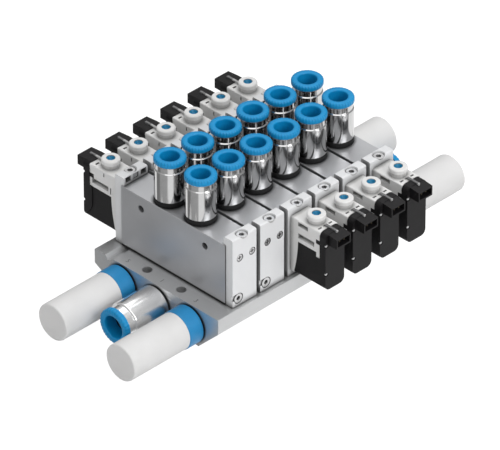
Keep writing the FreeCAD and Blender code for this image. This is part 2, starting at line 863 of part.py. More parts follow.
def silencer_foam():
    """White porous silencer cartridge."""
    bottom = port_seal_thickness + silencer_base_length
    top = bottom + silencer_foam_length
    spigot_top = bottom + silencer_spigot_length
    rim = silencer_edge_round
    return turned([
        (silencer_spigot_radius, bottom),
        (silencer_foam_radius, bottom),
        (silencer_foam_radius, top - rim),
        (silencer_foam_radius - rim, top),
        (0, top),
        (0, spigot_top),
        (silencer_spigot_radius, spigot_top),
    ])


def export(name, pieces):
    shape = pieces[0] if len(pieces) == 1 else Part.makeCompound(pieces)
    shape.exportStep("parts/" + name + ".step")


def pilots():
    """Each pilot valve as (side, valve number, turn): left ones on every valve."""
    places = []
    for number in range(1, valve_count + 1):
        places.append((-1, number))
        if number > single_pilot_count:
            places.append((1, number))
    return places


def placed(shape, side, number):
    """A right-hand piece, set on a valve at its right or left end."""
    turned_shape = shape.copy() if side > 0 else half_turn(shape)
    return moved(turned_shape, 0, valve_y(number), 0)


def build_pilots():
    """Pilot valves with their coils, covers, pins, light guides and buttons."""
    head = pilot_head()
    coil = solenoid_coil()
    groups = {"pilot_heads_left": [], "pilot_heads_right": [], "solenoid_coils": [], "plug_covers": []}
    groups.update({"light_guides": [], "contact_pins": [], "cover_screws": [], "pilot_armatures": []})
    for side, number in pilots():
        hand = "right" if side > 0 else "left"
        screw_side = -side
        cover = plug_cover().cut(screw_pockets(screw_side))
        groups["pilot_heads_" + hand].append(placed(head, side, number))
        groups["solenoid_coils"].append(placed(coil, side, number))
        groups["plug_covers"].append(placed(cover, side, number))
        groups["light_guides"].append(placed(light_guide(), side, number))
        groups["pilot_armatures"].append(placed(armature(), side, number))
        groups["contact_pins"].extend(placed(pin, side, number) for pin in contact_pins())
        groups["cover_screws"].extend(placed(screw, side, number) for screw in cover_screws(screw_side))
        export("override_button_" + hand + "_" + str(number), [placed(override_button(), side, number)])
    for name, pieces in groups.items():
        export(name, pieces)


def build_valves():
    """Valve bodies, spools, gaskets, end covers and their screws."""
    numbers = range(1, valve_count + 1)
    covers = []
    screws = []
    small_parts = []
    for number in numbers:
        y = valve_y(number)
        export("valve_body_" + str(number), [valve_body(y)])
        export("spool_" + str(number), [spool(y)])
        covers.append(placed(end_cover(), -1, number))
        if number <= single_pilot_count:
            export("plain_end_cover_" + str(number), [placed(plain_cover(), 1, number)])
            small_parts.extend(placed(cap_screw(offset), 1, number) for offset in cap_screw_offsets)
            small_parts.append(placed(port_plug(), 1, number))
        else:
            covers.append(placed(end_cover(), 1, number))
        screws.extend(placed(mounting_screw(), side, number) for side in (-1, 1))
    export("pilot_end_covers", covers)
    export("mounting_screws", screws)
    export("end_cover_screws_and_plugs", small_parts)
    export("valve_gaskets", [valve_gasket(valve_y(number)) for number in numbers])


def build_fittings():
    """Push-in fittings on the valves and on the supply gallery's two ends."""
    groups = {"fitting_bodies": fitting_body, "fitting_seals": fitting_seal}
    groups.update({"tube_seals": tube_seal, "grip_rings": grip_ring})
    for name, make in groups.items():
        upright = make(output_fitting)
        pieces = [at_output(upright, row, valve_y(n)) for n in range(1, valve_count + 1) for row in (-1, 1)]
        pieces.extend(at_rail_end(make(supply_fitting), 0, end) for end in (-1, 1))
        export(name, pieces)
    ring = release_ring(output_fitting)
    for number in range(1, valve_count + 1):
        for row, port in ((-1, "4"), (1, "2")):
            export("release_ring_" + port + "_" + str(number), [at_output(ring, row, valve_y(number))])
    for end, name in ((-1, "front"), (1, "rear")):
        export("supply_release_ring_" + name, [at_rail_end(release_ring(supply_fitting), 0, end)])


def build_silencers():
    """Silencers and their seals at both ends of the exhaust galleries."""
    places = [(gallery, end) for gallery in (-1, 1) for end in (-1, 1)]
    seal = fitting_seal(supply_fitting)
    export("silencer_bases", [at_rail_end(silencer_base(), gallery, end) for gallery, end in places])
    export("silencer_foams", [at_rail_end(silencer_foam(), gallery, end) for gallery, end in places])
    export("silencer_seals", [at_rail_end(seal, gallery, end) for gallery, end in places])


os.makedirs("parts", exist_ok=True)
export("manifold_rail", [manifold_rail()])
build_valves()
build_pilots()
build_fittings()
build_silencers()
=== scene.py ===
from math import cos, pi, radians, sin

import bpy
from mathutils import Matrix, Vector


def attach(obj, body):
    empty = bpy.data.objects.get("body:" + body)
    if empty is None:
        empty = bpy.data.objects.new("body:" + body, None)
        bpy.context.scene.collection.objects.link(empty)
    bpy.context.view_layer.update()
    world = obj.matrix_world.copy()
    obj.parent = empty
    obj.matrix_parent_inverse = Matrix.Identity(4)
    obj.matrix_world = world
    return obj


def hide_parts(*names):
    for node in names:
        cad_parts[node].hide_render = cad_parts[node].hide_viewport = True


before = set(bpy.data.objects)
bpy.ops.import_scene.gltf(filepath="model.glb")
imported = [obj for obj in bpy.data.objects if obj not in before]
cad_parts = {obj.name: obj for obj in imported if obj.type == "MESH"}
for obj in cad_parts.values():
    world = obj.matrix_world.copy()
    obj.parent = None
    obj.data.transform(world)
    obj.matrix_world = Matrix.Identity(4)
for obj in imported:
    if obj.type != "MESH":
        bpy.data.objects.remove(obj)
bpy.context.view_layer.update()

# The photographer's place: a long lens, level, above the front right-hand corner.
# The distance is what the valves' slight narrowing towards the rear gives.
mm = 0.001
photo_width = 500
focal_pixels = 7960
sensor_width = 36
camera_azimuth = radians(45.07)
camera_elevation = radians(34.55)
camera_distance = 3289.5 * mm
camera_target = Vector((0, 0, 52.2)) * mm
frame_centre = Vector((9.25, -11.8, 30.59)) * mm
nearest_seen = 100 * mm
farthest_seen = 100000 * mm

towards_camera = Vector((
    sin(camera_azimuth) * cos(camera_elevation),
    -cos(camera_azimuth) * cos(camera_elevation),
    sin(camera_elevation),
))
lens = bpy.data.cameras.new("photo_camera")
lens.sensor_width = sensor_width
lens.lens = focal_pixels * sensor_width / photo_width
lens.clip_start = nearest_seen
lens.clip_end = farthest_seen
camera = bpy.data.objects.new("photo_camera", lens)
bpy.context.collection.objects.link(camera)
camera.location = camera_target + towards_camera * camera_distance
camera.rotation_euler = (frame_centre - camera.location).to_track_quat("-Z", "Y").to_euler()
bpy.context.scene.camera = camera

# The studio: a white floor that runs past every view, a pale room, and soft lamps from
# the right and above. Bright metal sees pale and dark cards through the floor, in a ring
# below the part. It is stage only, and no part of the valve island. Lamps are in metres.
bpy.context.scene.view_settings.view_transform = "Standard"


class Socket:
    """An output of a shader node that takes part in plain sums."""

    def __init__(self, finish, link):
        self.finish = finish
        self.link = link

    def maths(self, operation, first, second):
        return self.finish.node("ShaderNodeMath", {"operation": operation}, {0: first, 1: second})

    def __add__(self, other):
        return self.maths("ADD", self, other)

    __radd__ = __add__

    def __sub__(self, other):
        return self.maths("SUBTRACT", self, other)

    def __rsub__(self, other):
        return self.maths("SUBTRACT", other, self)

    def __mul__(self, other):
        return self.maths("MULTIPLY", self, other)

    __rmul__ = __mul__

    def beyond(self, other):
        return self.maths("GREATER_THAN", self, other)

    def greater(self, other):
        return self.maths("MAXIMUM", self, other)


class Finish:
    """A node tree, and the one way in which its nodes are made."""

    def __init__(self, tree):
        self.tree = tree
        tree.nodes.clear()

    def node(self, kind, settings=None, inputs=None, output=0):
        made = self.tree.nodes.new(kind)
        for name, value in (settings or {}).items():
            if name == "stops":
                steps = made.color_ramp.elements
                steps[0].position, steps[0].color = value[0]
                steps[1].position, steps[1].color = value[-1]
                for place, colour in value[1:-1]:
                    steps.new(place).color = colour
            else:
                setattr(made, name, value)
        for name, value in (inputs or {}).items():
            if isinstance(value, Socket):
                self.tree.links.new(value.link, made.inputs[name])
            else:
                made.inputs[name].default_value = value
        return Socket(self, made.outputs[output]) if made.outputs else made

    def mixed(self, share, first, second):
        inputs = {0: share, 6: first, 7: second}
        return self.node("ShaderNodeMix", {"data_type": "RGBA"}, inputs, 2)

    def grain(self, size, detail=2.0, roughness=0.5):
        """Noise from 0 to 1, with a grain of (x, y, z) millimetres."""
        place = self.node("ShaderNodeTexCoord", output=3)
        stretch = [1 / (length * mm) for length in size]
        spread = self.node("ShaderNodeVectorMath", {"operation": "MULTIPLY"}, {0: place, 1: stretch})
        inputs = {"Vector": spread, "Scale": 1.0, "Detail": detail, "Roughness": roughness}
        return self.node("ShaderNodeTexNoise", inputs=inputs)

    def relief(self, height, depth):
        """Bump from a height that runs from 0 to 1, its depth in millimetres."""
        return self.node("ShaderNodeBump", inputs={"Height": height, "Distance": depth * mm, "Strength": 1.0})

    def shaded(self, reach, dark, colour):
        """The colour with painted shade: darker where other faces stand within that many millimetres."""
        contrast = 1.8
        free = self.node("ShaderNodeAmbientOcclusion", {"samples": 8}, {"Distance": reach * mm}, 1)
        return self.mixed(free * contrast - (contrast - 1), dark, colour)

    def surface(self, **inputs):
        named = {name.replace("_", " "): value for name, value in inputs.items()}
        shader = self.node("ShaderNodeBsdfPrincipled", inputs=named)
        self.node("ShaderNodeOutputMaterial", inputs={"Surface": shader})


def new_finish(name):
    material = bpy.data.materials.new(name)
    material.use_nodes = True
    return material, Finish(material.node_tree)


def painted(piece, material):
    piece.data.materials.clear()
    piece.data.materials.append(material)
    return piece


room = bpy.data.worlds.new("pale_room")
room.use_nodes = True
bpy.context.scene.world = room
air = Finish(room.node_tree)
sight = air.node("ShaderNodeTexCoord")
height = air.node("ShaderNodeSeparateXYZ", inputs={0: sight}, output=2)
around = air.node("ShaderNodeTexGradient", {"gradient_type": "RADIAL"}, {0: sight}, 1)
horizon_sharpness = 8


def greys(stops):
    """Settings of a colour ramp, from (place, brightness) pairs."""
    return {"stops": [(place, (level, level, level, 1)) for place, level in stops]}


# Brightness by height, from straight down at 0 to straight up at 1
ceiling_greys = [(0.5, 0.34), (0.8, 0.44), (0.88, 0.85)]
# Brightness by direction, once round the part from 0 to 1
card_greys = [
    (0.0, 1.1), (0.064, 1.1), (0.086, 0.25), (0.153, 0.25), (0.175, 0.45), (0.319, 0.5), (0.342, 1.1),
    (0.436, 1.1), (0.458, 0.3), (0.58, 0.12), (0.61, 1.2), (0.75, 1.2), (0.8, 1.1), (1.0, 1.1),
]
ceiling = air.node("ShaderNodeValToRGB", greys(ceiling_greys), {0: height * 0.5 + 0.5})
cards = air.node("ShaderNodeValToRGB", greys(card_greys), {0: around})
view = air.mixed(height * -horizon_sharpness, ceiling, cards)
air.node("ShaderNodeOutputWorld", inputs={0: air.node("ShaderNodeBackground", inputs={0: view, 1: 1.0})})

floor_size = 60
floor_drop = 0.2
floor_white = (0.85, 0.85, 0.85, 1)
floor_glow = 1.15
glow_share = 0.88
bpy.ops.object.select_all(action="DESELECT")
bpy.ops.mesh.primitive_plane_add(size=floor_size, location=(0, 0, -floor_drop * mm))
bpy.ops.object.transform_apply(location=True, rotation=True, scale=True)
floor = bpy.context.object
floor.name = "studio_floor"
white_card, card = new_finish("white_card")
by_eye = card.node("ShaderNodeLightPath", output="Is Camera Ray")
by_gloss = card.node("ShaderNodeLightPath", output="Is Glossy Ray")
paper = card.node("ShaderNodeBsdfDiffuse", inputs={0: floor_white})
glow = card.node("ShaderNodeEmission", inputs={0: (1, 1, 1, 1), 1: floor_glow})
lit = card.node("ShaderNodeMixShader", inputs={0: by_eye * glow_share, 1: paper, 2: glow})
clear = card.node("ShaderNodeBsdfTransparent")
open_to_gloss = card.node("ShaderNodeMixShader", inputs={0: by_gloss, 1: lit, 2: clear})
card.node("ShaderNodeOutputMaterial", inputs={"Surface": open_to_gloss})
painted(floor, white_card)

lamp_target = Vector((0, 0, 0.03))
lamps = {
    "key_lamp": {"place": (1.65, 0.0, 1.05), "size": 0.9, "watts": 19},
    "top_lamp": {"place": (-0.5, 0.7, 1.7), "size": 1.2, "watts": 8},
    "front_lamp": {"place": (0.5, -0.7, 1.7), "size": 1.4, "watts": 6},
}
for name, lamp in lamps.items():
    light = bpy.data.lights.new(name, "AREA")
    light.size = lamp["size"]
    light.energy = lamp["watts"]
    stand = bpy.data.objects.new(name, light)
    stand.location = lamp["place"]
    aim = lamp_target - stand.location
    stand.rotation_euler = aim.to_track_quat("-Z", "Y").to_euler()
    bpy.context.collection.objects.link(stand)

# The manifold rail: an aluminium extrusion, sawn to length, drilled and tapped, then
# anodised clear. Its edges are broken, and die lines run along it.
rail_edge = 0.25
weld_distance = 0.0005
flat_angle = radians(0.5)
corner_angle = radians(40)
smooth_angle = radians(35)
rounding_steps = 2


def softened(name, nodes, edge):
    """A copy of CAD nodes' solids with their edges rounded by that many millimetres."""
    bpy.ops.object.select_all(action="DESELECT")
    for node in nodes:
        copy = bpy.data.objects.new(name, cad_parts[node].data.copy())
        bpy.context.collection.objects.link(copy)
        copy.select_set(True)
        bpy.context.view_layer.objects.active = copy
    if len(nodes) > 1:
        bpy.ops.object.join()
    piece = bpy.context.object
    piece.name = name
    bpy.ops.object.mode_set(mode="EDIT")
    bpy.ops.mesh.select_all(action="SELECT")
    bpy.ops.mesh.remove_doubles(threshold=weld_distance * mm)
    bpy.ops.mesh.dissolve_limited(angle_limit=flat_angle)
    bpy.ops.object.mode_set(mode="OBJECT")
    bevel = piece.modifiers.new("edges", "BEVEL")
    bevel.width = edge * mm
    bevel.segments = rounding_steps
    bevel.limit_method = "ANGLE"
    bevel.angle_limit = corner_angle
    bevel.use_clamp_overlap = True
    bpy.ops.object.modifier_apply(modifier=bevel.name)
    finish_shading(piece)
    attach(piece, "island")
    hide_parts(*nodes)
    return piece


def finish_shading(piece):
    """Smooth round faces, flat faces kept flat, and corners over smooth_angle sharp."""
    bpy.ops.object.select_all(action="DESELECT")
    piece.select_set(True)
    bpy.context.view_layer.objects.active = piece
    bpy.ops.object.shade_smooth_by_angle(angle=smooth_angle)
    weighted = piece.modifiers.new("flats", "WEIGHTED_NORMAL")
    weighted.keep_sharp = True
    bpy.ops.object.modifier_apply(modifier=weighted.name)


anodised, metal = new_finish("anodised_extrusion")
die_lines = metal.grain((0.25, 60.0, 0.25), detail=3)
clouds = metal.grain((14, 20, 9), detail=3)
pale = metal.mixed(clouds, (0.58, 0.585, 0.59, 1), (0.68, 0.685, 0.69, 1))
metal.surface(
    # Base colour with painted shade: darker within 1.2 mm of other faces.
    Base_Color=metal.shaded(reach=1.2, dark=(0.1, 0.1, 0.1, 1), colour=pale),
    Metallic=0.85,
    Roughness=0.3 + die_lines * 0.16,
    Normal=metal.relief(die_lines, depth=0.012),
)
rail = painted(softened("rail", ["manifold_rail"], rail_edge), anodised)

# The valves' bodies: six aluminium blocks side by side on the rail, milled all over and
# finely blasted before they are anodised.
valve_count = 6
body_edge = 0.1
blasted, metal = new_finish("blasted_aluminium")
frost = metal.grain((0.12, 0.12, 0.12), detail=2)
clouds = metal.grain((18, 12, 12), detail=3)
pale = metal.mixed(clouds, (0.44, 0.445, 0.46, 1), (0.53, 0.535, 0.55, 1))
metal.surface(
    # Base colour with painted shade: darker within 1.6 mm of other faces, in the gaps between bodies and in
    # the holes.
    Base_Color=metal.shaded(reach=1.6, dark=(0.03, 0.03, 0.03, 1), colour=pale),
    Metallic=0.8,
    Roughness=0.36 + frost * 0.12,
    Normal=metal.relief(frost, depth=0.006),
)
for number in range(1, valve_count + 1):
    node = "valve_body_%d" % number
    body = painted(softened("body_of_valve_%d" % number, [node], body_edge), blasted)

# The gaskets: a thin black rubber sheet under each body, with three holes for the ports,
# clamped by the valve's two long screws.
rubber, stuff = new_finish("black_rubber")
skin = stuff.grain((0.3, 0.3, 0.3), detail=3)
stuff.surface(
    Base_Color=stuff.mixed(skin, (0.006, 0.006, 0.0065, 1), (0.012, 0.012, 0.0125, 1)),
    Roughness=0.5 + skin * 0.2,
    Specular_IOR_Level=0.25,
    Normal=stuff.relief(skin, depth=0.01),
)
painted(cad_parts["valve_gaskets"], rubber)

# The spools: one in each body's bore, turned from aluminium and ground to size. They
# slide along X, and their lands open and close the ports.
ground, metal = new_finish("ground_spool")
rings = metal.grain((0.2, 40, 40), detail=2)
metal.surface(
    Base_Color=metal.mixed(rings, (0.6, 0.6, 0.61, 1), (0.72, 0.72, 0.73, 1)),
    Metallic=1.0,
    Roughness=0.2 + rings * 0.15,
    Normal=metal.relief(rings, depth=0.0008),
)
for number in range(1, valve_count + 1):
    painted(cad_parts["spool_%d" % number], ground)

# The end covers: light grey mouldings with a fine matt skin, at both ends of each body.
# The long screws go through them, and the two plain ones also carry small screws and a plug.
cover_edge = 0.3
grey_cover, stuff = new_finish("pale_cover")
skin = stuff.grain((0.2, 0.2, 0.2), detail=2)
clouds = stuff.grain((9, 9, 12), detail=3)
pale = stuff.mixed(clouds, (0.61, 0.615, 0.625, 1), (0.68, 0.685, 0.695, 1))
stuff.surface(
    # Base colour with painted shade: darker within 3 mm of other faces, in the screw mouths and between the
    # covers.
    Base_Color=stuff.shaded(reach=3.0, dark=(0.1, 0.1, 0.1, 1), colour=pale),
    Roughness=0.38 + skin * 0.12,
    Normal=stuff.relief(skin, depth=0.006),
)
pilot_covers = painted(softened("end_covers", ["pilot_end_covers"], cover_edge), grey_cover)
for number in (1, 2):
    node = "plain_end_cover_%d" % number
    cover = painted(softened("plain_cover_of_valve_%d" % number, [node], cover_edge), grey_cover)

# Screws and plugs: steel with a zinc plate, their heads pressed and their sockets worn
# bright. The pilots' armatures and the fittings' grip rings, inside, are steel as well.
screw_edge = 0.12
zinc, metal = new_finish("zinc_plate")
wear = metal.grain((0.35, 0.35, 0.35), detail=4, roughness=0.6)
plate = metal.mixed(wear, (0.5, 0.5, 0.51, 1), (0.8, 0.8, 0.8, 1))
metal.surface(
    # Base colour with painted shade: darker within 1.2 mm of other faces.
    Base_Color=metal.shaded(reach=1.2, dark=(0.02, 0.02, 0.02, 1), colour=plate),
    Metallic=0.7,
    Roughness=0.2 + wear * 0.2,
    Normal=metal.relief(wear, depth=0.008),
)
small_steel = {
    "long_screws": "mounting_screws",
    "cover_screws_and_plugs": "end_cover_screws_and_plugs",
    "plug_cover_screws": "cover_screws",
}
for name, node in small_steel.items():
    painted(softened(name, [node], screw_edge), zinc)
for node in ("pilot_armatures", "grip_rings"):
    painted(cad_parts[node], zinc)

# The pilot valves' bodies: white mouldings with the override's collar on top, seated on
# the end covers, with pockets and slots in their sides.
head_edge = 0.15
white_moulding, stuff = new_finish("white_moulding")
skin = stuff.grain((0.25, 0.25, 0.25), detail=2)
flow = stuff.grain((5, 5, 8), detail=3)
pale = stuff.mixed(flow, (0.64, 0.637, 0.63, 1), (0.7, 0.697, 0.69, 1))
stuff.surface(
    # Base colour with painted shade: grey within 2.2 mm of other faces, in the pockets, slots and round the
    # collar.
    Base_Color=stuff.shaded(reach=2.2, dark=(0.28, 0.28, 0.275, 1), colour=pale),
    Roughness=0.36 + skin * 0.12,
    Subsurface_Weight=0.08,
    Subsurface_Radius=(0.002, 0.0018, 0.0016),
    Normal=stuff.relief(skin, depth=0.006),
)
for side in ("left", "right"):
    heads = softened("pilot_bodies_" + side, ["pilot_heads_" + side], head_edge)
    painted(heads, white_moulding)

# The coils and plug covers: a black block moulded round each winding, and a black cover
# over the end with the plug's socket in it, held by two small screws.
coil_edge = 0.2
black_moulding, stuff = new_finish("black_moulding")
sparks = stuff.grain((0.14, 0.14, 0.14), detail=3, roughness=0.6)
flow = stuff.grain((6, 6, 6), detail=2)
stuff.surface(
    Base_Color=stuff.mixed(flow, (0.0055, 0.005, 0.0055, 1), (0.009, 0.0083, 0.009, 1)),
    Roughness=0.42 + sparks * 0.16,
    Specular_IOR_Level=0.22,
    Normal=stuff.relief(sparks, depth=0.014),
)
coils = painted(softened("coil_blocks", ["solenoid_coils"], coil_edge), black_moulding)
plug_covers = painted(softened("plug_sockets", ["plug_covers"], coil_edge), black_moulding)

# The contact pins: two square brass pins in each socket, flashed with gold. Their colour
# is painted dark as painted shade, because little light gets in there.
gold_flash_in_painted_shade, metal = new_finish("gold_flash_in_painted_shade")
scuffs = metal.grain((0.2, 0.2, 0.2), detail=3)
metal.surface(
    Base_Color=metal.mixed(scuffs, (0.05, 0.042, 0.03, 1), (0.09, 0.076, 0.05, 1)),
    Metallic=1.0,
    Roughness=0.35 + scuffs * 0.2,
    Normal=metal.relief(scuffs, depth=0.004),
)
painted(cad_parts["contact_pins"], gold_flash_in_painted_shade)

# The light guides: a smoky clear bar on top of each plug cover, which shows the coil's
# lamp. Painted highlights lighten the right ones' outer ends, the left ones' nearer the pilot.
right_highlight_from = 55.5
right_blend = 1 / 2
left_highlight_from = 53.2
left_blend = 2 / 3
smoked, stuff = new_finish("smoked_light_guide")
streaks = stuff.grain((1.2, 0.4, 0.4), detail=3)
place = stuff.node("ShaderNodeTexCoord", output=3)
across = stuff.node("ShaderNodeSeparateXYZ", inputs={0: place})
# Shares of painted highlight along the bar, from 0 to 1.
right_painted_highlight = (across - right_highlight_from * mm) * (1 / (right_blend * mm))
left_painted_highlight = (0 - across).beyond(0) * (across + left_highlight_from * mm) * (1 / (left_blend * mm))
stuff.surface(
    # Painted highlight: past those points the bar takes the lighter colour.
    Base_Color=stuff.mixed(
        right_painted_highlight.greater(left_painted_highlight),
        stuff.mixed(streaks, (0.04, 0.04, 0.041, 1), (0.25, 0.25, 0.255, 1)),
        stuff.mixed(streaks, (0.3, 0.3, 0.3, 1), (0.5, 0.5, 0.5, 1)),
    ),
    Roughness=0.1 + streaks * 0.1,
    Coat_Weight=0.6,
    Normal=stuff.relief(streaks, depth=0.006),
)
guides = painted(softened("light_guide_bars", ["light_guides"], screw_edge), smoked)

# The hand overrides: a blue plastic button in each pilot's collar, dished for a pen's tip.
# It slides down against the armature's spring.
button_radius = 1.9
button_foot = 40.0
button_top = 51.9
pilot_reach = 44.0
valve_pitch = 16.0
button_edge = 0.15
merge_distance = 0.0001


def turned(name, profile, steps, edge, closed=False):
    """A piece turned about Z from (radius, height) points, its edges rounded."""
    bpy.ops.object.select_all(action="DESELECT")
    radius, height = profile[0]
    bpy.ops.mesh.primitive_circle_add(vertices=steps, radius=radius * mm, location=(0, 0, height * mm))
    piece = bpy.context.object
    piece.name = name
    bpy.ops.object.mode_set(mode="EDIT")
    bpy.ops.mesh.select_all(action="SELECT")
    for (radius, height), (next_radius, next_height) in zip(profile, profile[1:] + profile[:closed]):
        lift = {"value": (0, 0, (next_height - height) * mm)}
        bpy.ops.mesh.extrude_region_move(TRANSFORM_OT_translate=lift)
        spread = next_radius / radius
        centre = (0, 0, next_height * mm)
        bpy.ops.transform.resize(value=(spread, spread, 1), center_override=centre)
    bpy.ops.mesh.select_all(action="SELECT")
    bpy.ops.mesh.remove_doubles(threshold=merge_distance * mm)
    bpy.ops.mesh.fill_holes(sides=0)
    bpy.ops.mesh.normals_make_consistent(inside=False)
    bpy.ops.object.mode_set(mode="OBJECT")
    bpy.ops.object.transform_apply(location=True, rotation=True, scale=True)
    if edge:
        bevel = piece.modifiers.new("edges", "BEVEL")
        bevel.width = edge * mm
        bevel.segments = rounding_steps
        bevel.limit_method = "ANGLE"
        bevel.angle_limit = smooth_angle
        bpy.ops.object.modifier_apply(modifier=bevel.name)
    finish_shading(piece)
    return piece


def valve_y(number):
    return (number - (valve_count + 1) / 2) * valve_pitch


def set_at(pattern, name, place):
    """A copy of a finished piece with its place in its own mesh."""
    copy = bpy.data.objects.new(name, pattern.data.copy())
    bpy.context.collection.objects.link(copy)
    copy.data.transform(place)
    return copy


blue_button, stuff = new_finish("blue_button")
skin = stuff.grain((0.4, 0.4, 0.4), detail=3)
blue = stuff.mixed(skin, (0.002, 0.14, 0.28, 1), (0.004, 0.2, 0.38, 1))
stuff.surface(
    # Base colour with painted shade: darker in the dish and down the collar's bore.
    Base_Color=stuff.shaded(reach=1.0, dark=(0.001, 0.02, 0.04, 1), colour=blue),
    Roughness=0.28 + skin * 0.1,
    Specular_IOR_Level=0.3,
    Normal=stuff.relief(skin, depth=0.006),
)
button_outline = [
    (button_radius, button_foot),
    (button_radius, button_top),
    (button_radius * 0.8, button_top),
    (button_radius * 0.62, button_top - 0.7),
    (button_radius * 0.4, button_top - 0.95),
    (0.1, button_top - 1.0),
]
button_sides = 48
button = turned("button_pattern", button_outline, button_sides, button_edge)
for side, sign in (("left", -1), ("right", 1)):
    for number in range(1, valve_count + 1):
        node = "override_button_%s_%d" % (side, number)
        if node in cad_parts:
            place = Matrix.Translation(Vector((sign * pilot_reach, valve_y(number), 0)) * mm)
            piece = painted(set_at(button, "button_%s_%d" % (side, number), place), blue_button)
            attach(piece, node)
            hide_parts(node)
bpy.data.objects.remove(button)

# The push-in fittings: brass turned on a lathe and nickel plated bright, twelve upright
# in the valves' tops and one level in each end of the rail. Each screws down on a black ring.
row_reach = 9.0
valve_top = 48.3
rail_end = 57.2
gallery_height = 9.3

body_sides = 96
output_edge = 0.1
supply_edge = 0.12
seal_edge = 0.15
mottle = 0.04
nickels = {}
# Both rows have the same plating: the upright ones' base colour is painted darker than the level ones', as
# painted shade.
for name, turning_grain, level, satin in (
    ("upright", (30, 30, 0.12), 0.56, 0.07),
    ("level", (30, 0.12, 30), 0.86, 0.22),
):
    nickels[name], metal = new_finish("bright_nickel_" + name)
    turning = metal.grain(turning_grain, detail=2)
    haze = metal.grain((3, 3, 3), detail=3)
    metal.surface(
        Base_Color=metal.mixed(haze, (level - mottle,) * 3 + (1,), (level + mottle,) * 3 + (1,)),
        Metallic=1.0,
        Roughness=satin + turning * 0.07,
        Normal=metal.relief(turning, depth=0.0006),
    )

# Outlines: (radius, height) above the valve's top, or out from the rail's end
output_body = [
    (3.0, -5.0), (4.85, -5.0), (4.85, 2.2), (6.45, 2.2), (6.7, 2.5), (6.7, 16.35),
    (6.2, 16.75), (6.2, 19.2), (6.48, 19.5), (6.48, 19.8), (5.0, 19.8),
    (5.0, 15.0), (5.3, 15.0), (5.3, 11.0), (4.05, 11.0), (4.05, 5.5), (3.0, 5.5),
]
supply_body = [
    (4.0, -8.0), (6.5, -8.0), (6.5, 0.6), (8.1, 0.6), (8.4, 0.95), (8.4, 18.1),
    (8.2, 18.5), (7.85, 18.8), (7.65, 18.9), (7.65, 22.1), (7.5, 22.3), (6.15, 22.3),
    (6.15, 18.4), (6.6, 18.4), (6.6, 14.0), (5.1, 14.0), (5.1, 8.0), (4.0, 8.0),
]
output_seal = [(4.9, 0.0), (6.5, 0.0), (6.8, 0.3), (6.8, 1.9), (6.5, 2.2), (4.9, 2.2)]
supply_seal = [(6.55, 0.0), (7.9, 0.0), (7.9, 0.6), (6.55, 0.6)]


def on_valve(row, number):
    return Matrix.Translation(Vector((row * row_reach, valve_y(number), valve_top)) * mm)


def on_rail_end(x, end):
    out = Matrix.Translation(Vector((x, end * rail_end, gallery_height)) * mm)
    return out @ Matrix.Rotation(radians(-90 * end), 4, "X")


def joined(name, copies):
    bpy.ops.object.select_all(action="DESELECT")
    for copy in copies:
        copy.select_set(True)
    bpy.context.view_layer.objects.active = copies[0]
    bpy.ops.object.join()
    copies[0].name = name
    return copies[0]


output_places = [on_valve(row, number) for number in range(1, valve_count + 1) for row in (-1, 1)]
supply_places = [on_rail_end(0, end) for end in (-1, 1)]
body_pattern = turned("body_pattern", output_body, body_sides, output_edge, closed=True)
bodies = [set_at(body_pattern, "nickel_copy", place) for place in output_places]
supply_pattern = turned("supply_pattern", supply_body, body_sides, supply_edge, closed=True)
supply_bodies = [set_at(supply_pattern, "nickel_copy", place) for place in supply_places]
seal_pattern = turned("seal_pattern", output_seal, body_sides, seal_edge, closed=True)
seals = [set_at(seal_pattern, "seal_copy", place) for place in output_places]
thin_pattern = turned("thin_pattern", supply_seal, body_sides, output_edge, closed=True)
seals += [set_at(thin_pattern, "seal_copy", place) for place in supply_places]
for name, copies, node, material, slot in (
    ("nickel_output_fittings", bodies, "fitting_bodies", nickels["upright"], "nickel"),
    ("nickel_supply_fittings", supply_bodies, "fitting_bodies", nickels["level"], "nickel"),
    ("fitting_sealing_rings", seals, "fitting_seals", rubber, "rubber"),
):
    piece = painted(joined(name, copies), material)
    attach(piece, "island")
    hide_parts(node)
for pattern in (body_pattern, supply_pattern, seal_pattern, thin_pattern):
    bpy.data.objects.remove(pattern)
painted(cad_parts["tube_seals"], rubber)

# The release rings: blue mouldings with a notched rim, which slide in the fittings'
# mouths. Pressed in, they open the toothed grip ring and let the tube go.
grip_notches = 32
notch_share = 0.4
ring_sides = 192
output_ring = [
    (4.05, 15.1), (4.95, 15.1), (4.95, 20.9), (6.55, 20.9), (6.55, 19.8), (6.78, 19.8),
    (6.85, 19.9), (6.85, 21.35), (6.75, 21.65), (6.5, 21.9), (6.2, 22.0), (4.6, 22.0),
    (4.3, 21.9), (4.1, 21.65), (4.05, 21.3),
]
supply_ring = [
    (5.1, 18.5), (6.1, 18.5), (6.1, 23.4), (7.8, 23.4), (7.8, 22.3), (8.02, 22.3),
    (8.1, 22.4), (8.1, 24.05), (8.0, 24.4), (7.7, 24.7), (7.35, 24.8), (5.75, 24.8),
    (5.4, 24.7), (5.17, 24.4), (5.1, 24.0),
]

blue_ring, stuff = new_finish("blue_release_ring")
skin = stuff.grain((0.35, 0.35, 0.35), detail=3)
tint = stuff.grain((4, 4, 4), detail=2)
blue = stuff.mixed(tint, (0.001, 0.21, 0.46, 1), (0.003, 0.26, 0.55, 1))
stuff.surface(
    # Base colour with painted shade: darker in the notches and where the ring meets the fitting.
    Base_Color=stuff.shaded(reach=0.9, dark=(0.001, 0.03, 0.07, 1), colour=blue),
    Roughness=0.36 + skin * 0.12,
    Specular_IOR_Level=0.3,
    Normal=stuff.relief(skin, depth=0.01),
)


